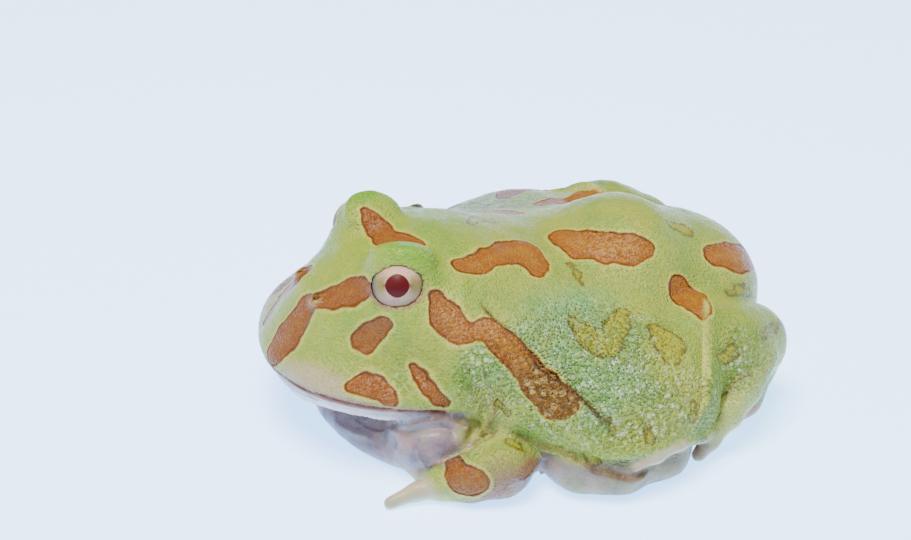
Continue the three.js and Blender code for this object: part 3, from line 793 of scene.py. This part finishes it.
# a material in the making, with short ways to add nodes to it
class Finish:
    def __init__(self, name):
        self.material = bpy.data.materials.new(name)
        self.material.use_nodes = True
        self.tree = self.material.node_tree
        self.shader = self.tree.nodes["Principled BSDF"]
        metres = self.put("TexCoord").outputs["Object"]
        self.at = self.put("VectorMath", {0: metres, "Scale": 1 / mm}, operation="SCALE").outputs[0]

    def feed(self, socket, value):
        if isinstance(value, bpy.types.NodeSocket):
            self.tree.links.new(value, socket)
        else:
            socket.default_value = value

    def put(self, kind, inputs=None, **settings):
        node = self.tree.nodes.new("ShaderNode" + kind)
        for key, value in settings.items():
            setattr(node, key, value)
        for key, value in (inputs or {}).items():
            self.feed(node.inputs[key], value)
        return node

    def maths(self, kind, a, b=0.0, c=0.0):
        return self.put("Math", {0: a, 1: b, 2: c}, operation=kind).outputs[0]

    def times(self, a, b):
        return self.maths("MULTIPLY", a, b)

    # a times b plus c
    def scaled(self, a, b, c):
        return self.maths("MULTIPLY_ADD", a, b, c)

    def larger(self, a, b):
        return self.maths("MAXIMUM", a, b)

    def rest(self, a):
        return self.maths("SUBTRACT", 1.0, a)

    # carries the values between two limits over to a new range, softly or in a straight line
    def span(self, value, limits, start=0.0, end=1.0, kind="SMOOTHSTEP"):
        low, high = limits
        inputs = {"Value": value, "From Min": low, "From Max": high, "To Min": start, "To Max": end}
        return self.put("MapRange", inputs, interpolation_type=kind).outputs["Result"]

    def line(self, value, limits, start=0.0, end=1.0):
        return self.span(value, limits, start, end, "LINEAR")

    # lays a colour, or another socket, over the first one
    def over(self, base, share, top):
        if isinstance(top, tuple):
            top = rgb(top)
        return self.put("Mix", {0: share, 6: base, 7: top}, data_type="RGBA", clamp_factor=True).outputs[2]

    def stored(self, name, output="Fac"):
        return self.put("Attribute", attribute_name=name, attribute_type="GEOMETRY").outputs[output]

    def ramp(self, share, stops):
        node = self.put("ValToRGB", {"Fac": share})
        bar = node.color_ramp
        while len(bar.elements) < len(stops):
            bar.elements.new(0.5)
        for element, (place, color) in zip(bar.elements, stops):
            element.position = place
            element.color = rgb(color)
        return node.outputs["Color"]

    def noise(self, scale, detail, rough, shift=0.0):
        offset = (shift, shift * 0.7, -shift)
        moved = self.put("VectorMath", {0: self.at, 1: offset}, operation="ADD").outputs[0]
        inputs = {"Vector": moved, "Scale": scale, "Detail": detail, "Roughness": rough}
        return self.put("TexNoise", inputs).outputs["Fac"]

    def cells(self, scale):
        inputs = {"Vector": self.at, "Scale": scale, "Randomness": 0.9}
        return self.put("TexVoronoi", inputs, feature="F1").outputs["Distance"]

    def finish(self, color, rough, bump, values):
        self.feed(self.shader.inputs["Base Color"], color)
        self.feed(self.shader.inputs["Roughness"], rough)
        self.feed(self.shader.inputs["Normal"], bump.outputs["Normal"])
        for name, value in values.items():
            self.shader.inputs[name].default_value = value
        return self.material


def rgb(color):
    return (*spread(color), 1)


skinLook = {
    "yellowCloud": (0.72, 0.74, 0.22),
    "greenCloud": (0.44, 0.64, 0.20),
    "fineCloud": (0.74, 0.82, 0.42),
    # painted shade for the hollows between the grains
    "paintedHollowShade": (0.30, 0.44, 0.10),
    "grainSpacing": 1.15,
    "whiteDot": (0.86, 0.90, 0.62),
    "whiteDotSpacing": 0.85,
    # painted glints: whitish flecks on the mint skin
    "glint": (0.88, 0.97, 0.88),
    "glintSpacing": 2.0,
    "olive": (0.68, 0.66, 0.10),
    "oliveRim": (0.40, 0.30, 0.03),
    "oliveEdge": 1.3,            # how ragged the edges of the marks are, in mm
    "spotEdge": 0.75,
    "halo": (0.80, 0.80, 0.34),
    "spotCore": (0.68, 0.44, 0.07),
    "spotMain": (0.63, 0.365, 0.02),
    "spotRim": (0.56, 0.30, 0.02),
    "spotLine": (0.52, 0.30, 0.05),
    "spotCloud": (0.72, 0.50, 0.14),
    "ruddy": (0.50, 0.23, 0.02),
    "ruddyShare": 0.5,
    "knobGround": (0.48, 0.33, 0.09),
    "knobTop": (0.84, 0.70, 0.42),
    "paleMottle": (0.42, 0.35, 0.43),
    "blush": (0.80, 0.60, 0.54),
    "lip": (0.62, 0.40, 0.34),
    "lid": (0.62, 0.42, 0.38),
    "nostril": (0.78, 0.62, 0.36),
    "edge": (0.84, 0.84, 0.42),
    # painted shade along the bottoms of folds and grooves
    "crease": (0.32, 0.15, 0.05),
    "grooveShade": (0.42, 0.26, 0.16),
    # painted shade for skin that faces sideways or down, and how much of it is laid
    "paintedShade": (0.20, 0.14, 0.06),
    "paintedShadeShare": 0.34,
    "roughness": (0.25, 0.43),
    "domeSpacing": 1.9,
    "bumpDepth": 0.0008,
    "shader": {
        "Specular IOR Level": 0.30,
        "Subsurface Weight": 0.12,
        "Subsurface Radius": (1.0, 0.55, 0.3),
        "Subsurface Scale": 0.0022,
    },
}


def skinMaterial():
    v = skinLook
    f = Finish("frog_skin")
    pale = f.stored("pale")
    toe = f.stored("toe")
    granule = f.stored("granule")
    glint = f.stored("glint")
    knobArea = f.stored("knobArea")
    green = f.rest(f.stored("plain"))

    # ground colour: soft clouds, a fine mottle, and painted shade in the hollows between the grains
    clouds = f.noise(0.16, 4.0, 0.55)
    fineClouds = f.noise(0.7, 3.0, 0.6, 7.0)
    base = f.stored("tone", "Color")
    base = f.over(base, f.times(f.span(clouds, (0.42, 0.68), 0.0, 0.45), green), v["yellowCloud"])
    base = f.over(base, f.times(f.span(clouds, (0.52, 0.30), 0.0, 0.40), green), v["greenCloud"])
    base = f.over(base, f.span(fineClouds, (0.45, 0.72), 0.0, 0.16), v["fineCloud"])
    grains = f.cells(v["grainSpacing"])
    # painted shade in the hollows between the grains of the green skin
    paintedHollowShade = f.times(f.span(grains, (0.30, 0.62)), f.line(granule, (0.0, 1.0), 0.05, 0.14))
    base = f.over(base, f.times(paintedHollowShade, green), v["paintedHollowShade"])

    # white grains on the sides, and finer whitish flecks of painted glint on the mint skin
    ragged = f.scaled(f.noise(1.7, 2.0, 0.5, 13.0), 0.36, f.cells(v["whiteDotSpacing"]))
    dotSize = f.line(f.noise(0.24, 2.0, 0.5, 3.0), (0.34, 0.62), 0.34, 0.68)
    dots = f.times(f.span(f.maths("SUBTRACT", dotSize, ragged), (-0.04, 0.14), 0.0, 0.8), granule)
    base = f.over(base, dots, v["whiteDot"])
    glintSize = f.line(f.noise(0.45, 3.0, 0.6, 43.0), (0.38, 0.60), 0.06, 0.42)
    paintedGlints = f.maths("SUBTRACT", glintSize, f.cells(v["glintSpacing"]))
    base = f.over(base, f.times(f.span(paintedGlints, (-0.03, 0.08), 0.0, 0.85), glint), v["glint"])

    # olive net marks
    wobble = f.scaled(f.noise(0.62, 4.0, 0.62, 11.0), 2 * v["oliveEdge"], -v["oliveEdge"])
    oliveAt = f.maths("ADD", f.stored("olive"), wobble)
    stops = [(0.0, v["olive"]), (0.45, v["olive"]), (0.78, v["oliveRim"])]
    olive = f.ramp(f.line(oliveAt, (-1.6, 0.3)), stops)
    olive = f.over(olive, f.span(fineClouds, (0.50, 0.60), 0.0, 0.5), base)
    base = f.over(base, f.span(oliveAt, (0.35, 0.0), 0.0, 0.8), olive)

    # brown patches: a pale line outside, a darker rim, a lighter mottled middle
    wobble = f.scaled(f.noise(0.30, 2.0, 0.45, 5.0), 2 * v["spotEdge"], -v["spotEdge"])
    brownAt = f.maths("ADD", f.stored("brown"), wobble)
    halo = f.times(f.span(brownAt, (1.3, 0.65), 0.0, 0.7), f.rest(pale))
    base = f.over(base, halo, v["halo"])
    stops = [(0.0, v["spotCore"]), (0.45, v["spotMain"]), (0.74, v["spotMain"]), (0.88, v["spotRim"])]
    brown = f.ramp(f.line(brownAt, (-2.4, 0.5)), stops + [(1.0, v["spotLine"])])
    brown = f.over(brown, f.span(f.noise(0.9, 4.0, 0.6, 17.0), (0.48, 0.70), 0.0, 0.5), v["spotCloud"])
    brown = f.over(brown, f.times(knobArea, 0.75), v["knobGround"])
    brown = f.over(brown, f.times(f.stored("ruddy"), v["ruddyShare"]), v["ruddy"])
    knobTop = f.times(f.span(f.stored("knob"), (0.12, 0.60), 0.0, 0.85), knobArea)
    brown = f.over(brown, knobTop, v["knobTop"])
    base = f.over(base, f.times(f.span(brownAt, (0.52, 0.34)), f.rest(toe)), brown)

    # greyish lilac mottle and a blush on the pale underside
    mottle = f.times(f.span(f.noise(0.34, 5.0, 0.62, 23.0), (0.50, 0.68), 0.0, 0.75), pale)
    base = f.over(base, mottle, v["paleMottle"])
    soft = f.larger(pale, toe)
    blush = f.times(f.span(f.noise(0.22, 3.0, 0.5, 29.0), (0.48, 0.66), 0.0, 0.5), soft)
    base = f.over(base, blush, v["blush"])

    # lips, rims, painted shade in the creases, and painted shade on skin that faces sideways or down
    base = f.over(base, f.times(f.stored("nostril"), 0.8), v["nostril"])
    for mark in ("lip", "lid", "edge", "crease", "grooveShade"):
        base = f.over(base, f.stored(mark), v[mark])
    base = f.over(base, f.times(f.stored("paintedShade"), v["paintedShadeShare"]), v["paintedShade"])
    rough = f.line(f.noise(0.8, 3.0, 0.5, 37.0), (0.3, 0.7), *v["roughness"])

    # grain: small domes, larger on the sides, and a fine leathery surface
    rougher = f.larger(granule, glint)
    height = f.span(f.cells(v["domeSpacing"]), (0.0, 0.6), 1.0, 0.0)
    height = f.times(height, f.line(rougher, (0.0, 1.0), 0.22, 0.8))
    height = f.scaled(f.times(f.span(grains, (0.0, 0.6), 1.0, 0.0), rougher), 0.6, height)
    height = f.scaled(dots, 0.6, height)
    height = f.scaled(f.noise(2.2, 2.0, 0.5, 41.0), 0.30, height)
    height = f.scaled(f.span(brownAt, (0.30, -0.1)), 0.5, height)
    height = f.times(height, f.scaled(soft, -0.8, 1.0))
    bump = f.put("Bump", {"Height": height, "Strength": 1.0, "Distance": v["bumpDepth"]})
    return f.finish(base, rough, bump, v["shader"])


skin.data.materials.append(skinMaterial())
print("skin coloured")


# eyeballs: a fine ball with a slight bulge over the pupil
eyeLook = {
    "pupilAim": (0.84, -0.33, 0.52),
    "pupil": (2.0, 1.95),
    "pupilPower": 1.8,           # 2 is round, lower is more of a lozenge
    "bulge": 0.12,
    "bulgeReach": 0.42,
    "slack": 0.02,
    "rings": 72,
    "around": 96,
    "pupilColor": (0.29, 0.0, 0.0),
    "pupilRim": (0.34, 0.10, 0.08),
    "irisLow": (0.50, 0.34, 0.26),
    "irisPink": (0.78, 0.52, 0.50),
    "irisCream": (0.72, 0.64, 0.46),
    # pale iris flecks, partly the iris's own colour and partly painted highlight
    "irisFleckAndHighlight": (0.90, 0.82, 0.76),
    "irisOlive": (0.48, 0.42, 0.20),
    "irisStreak": (0.36, 0.20, 0.10),
    "ring": (0.32, 0.33, 0.34),
    "roughness": (0.50, 0.62),
    "bumpDepth": 0.00008,
    "shader": {"Specular IOR Level": 0.18, "Coat Weight": 0.06, "Coat Roughness": 0.12},
}


def eyePiece(name, side):
    v = eyeLook
    out, forward, up = eyeAxes(v["pupilAim"])
    rings, around = v["rings"], v["around"]
    points, places, faces = [], [], []
    for i in range(rings + 1):
        a = math.pi * i / rings
        for j in range(around):
            b = 2 * math.pi * j / around
            o, f, u = math.cos(a), math.sin(a) * math.cos(b), math.sin(a) * math.sin(b)
            bulge = v["bulge"] * math.exp(-(math.sin(a) / v["bulgeReach"]) ** 2) * (o > 0)
            radius = eye["radius"] - v["slack"] + bulge
            p = (out * o + forward * f + up * u) * radius
            x, y, z = (middle + step for middle, step in zip(eye["centre"], p))
            points.append((x * side, y, z))
            places.append((o, f * radius, u * radius))
    for i in range(rings):
        for j in range(around):
            k = (j + 1) % around
            quad = (i * around + j, (i + 1) * around + j, (i + 1) * around + k, i * around + k)
            faces.append(quad if side > 0 else quad[::-1])
    piece = meshObject(name, np.array(points), faces)
    o, f, u = np.array(places).T
    wide, tall = v["pupil"]
    power = v["pupilPower"]
    shape = (np.abs(f / wide) ** power + np.abs(u / tall) ** power) ** (1 / power)
    keepValues(piece.data, "pupil", np.where(o > 0, (shape - 1) * 1.7, 9))
    keepValues(piece.data, "sideways", f / 4)
    keepValues(piece.data, "height", u / 4)
    keepValues(piece.data, "reach", np.where(o > 0, np.hypot(f, u), 9))
    return piece


def eyeMaterial():
    v = eyeLook
    f = Finish("frog_eye")
    fine = f.noise(2.6, 5.0, 0.6)
    broad = f.noise(0.9, 3.0, 0.5)
    height = f.stored("height")
    level = f.maths("ABSOLUTE", height)
    pupil = f.stored("pupil")
    color = f.over(rgb(v["irisPink"]), f.span(broad, (0.38, 0.62)), v["irisCream"])
    # pale flecks over the iris: partly its own colour, partly painted highlight
    color = f.over(color, f.span(fine, (0.5, 0.72), 0.0, 0.6), v["irisFleckAndHighlight"])
    sides = f.span(f.maths("ABSOLUTE", f.stored("sideways")), (0.30, 0.66), 0.0, 0.95)
    color = f.over(color, f.times(f.span(level, (0.75, 0.10)), sides), v["irisOlive"])
    beside = f.span(f.scaled(fine, 0.25, pupil), (0.95, 0.15), 0.0, 0.8)
    color = f.over(color, f.times(f.span(level, (0.13, 0.0)), beside), v["irisStreak"])
    color = f.over(color, f.span(height, (-0.15, -0.75), 0.0, 0.45), v["irisLow"])
    color = f.over(color, f.span(f.stored("reach"), (3.6, 4.3), 0.0, 0.7), v["ring"])
    color = f.over(color, f.span(pupil, (0.10, 0.02)), v["pupilRim"])
    color = f.over(color, f.span(pupil, (0.02, -0.05)), v["pupilColor"])
    rough = f.line(fine, (0.3, 0.7), *v["roughness"])
    bump = f.put("Bump", {"Height": fine, "Strength": 0.12, "Distance": v["bumpDepth"]})
    return f.finish(color, rough, bump, v["shader"])


eyeFinish = eyeMaterial()
for name, sign in (("left", 1), ("right", -1)):
    eyeball = eyePiece(f"eyeball_{name}", sign)
    eyeball.data.materials.append(eyeFinish)
    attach(eyeball, "root")
    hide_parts(f"eye_{name}")
fleshNodes = [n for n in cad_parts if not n.startswith("eye")]
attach(skin, "root")
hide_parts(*fleshNodes)
print("pieces ready")


# floor, light and camera; distances of the lights in metres
view = {
    "azimuth": 70, "elevation": 30, "distance": 335, "target": (-14, -6.5, 15.5), "lens": 70, "sensor": 36,
}
lights = {
    "overhead": {"azimuth": 40, "elevation": 78, "distance": 0.75, "size": 0.38, "power": 12.6,
                 "color": (1.0, 0.99, 0.97)},
    "front": {"azimuth": 10, "elevation": 38, "distance": 0.9, "size": 0.5, "power": 1.3,
              "color": (0.96, 0.98, 1.0)},
    "rear": {"azimuth": 170, "elevation": 45, "distance": 0.9, "size": 0.6, "power": 2.2,
             "color": (0.93, 0.97, 1.0)},
}
studio = {
    "air": (0.80, 0.88, 1.0, 1),
    "airStrength": 0.30,
    "floorReach": 1.5,
    "floor": {
        "Base Color": (0.82, 0.90, 1.0, 1),
        "Emission Color": (0.24, 0.54, 1.0, 1),
        "Emission Strength": 3.4,
        "Roughness": 0.7,
    },
}


def toward(azimuth, elevation):
    a = math.radians(azimuth)
    e = math.radians(elevation)
    return Vector((math.sin(a) * math.cos(e), -math.cos(a) * math.cos(e), math.sin(e)))


def stand(name, data, place, target):
    holder = bpy.data.objects.new(name, data)
    holder.location = place
    holder.rotation_euler = (Vector(target) - holder.location).to_track_quat("-Z", "Y").to_euler()
    bpy.context.scene.collection.objects.link(holder)
    return holder


target = Vector(view["target"]) * mm
lensData = bpy.data.cameras.new("camera")
lensData.lens = view["lens"]
lensData.sensor_width = view["sensor"]
lensData.clip_start = 0.01
place = target + toward(view["azimuth"], view["elevation"]) * view["distance"] * mm
bpy.context.scene.camera = stand("camera", lensData, place, target)

for name, values in lights.items():
    lamp = bpy.data.lights.new(name, "AREA")
    lamp.shape = "SQUARE"
    lamp.size = values["size"]
    lamp.energy = values["power"]
    lamp.color = values["color"]
    place = target + toward(values["azimuth"], values["elevation"]) * values["distance"]
    stand(name, lamp, place, target)

world = bpy.data.worlds.new("studio")
bpy.context.scene.world = world
world.use_nodes = True
background = world.node_tree.nodes["Background"]
background.inputs["Color"].default_value = studio["air"]
background.inputs["Strength"].default_value = studio["airStrength"]

reach = studio["floorReach"]
floorMesh = bpy.data.meshes.new("floor")
corners = [(-reach, -reach, 0), (reach, -reach, 0), (reach, reach, 0), (-reach, reach, 0)]
floorMesh.from_pydata(corners, [], [(0, 1, 2, 3)])
floor = bpy.data.objects.new("floor", floorMesh)
bpy.context.scene.collection.objects.link(floor)
floorLook = bpy.data.materials.new("floor")
floorLook.use_nodes = True
for name, value in studio["floor"].items():
    floorLook.node_tree.nodes["Principled BSDF"].inputs[name].default_value = value
floorMesh.materials.append(floorLook)
print("stage ready")
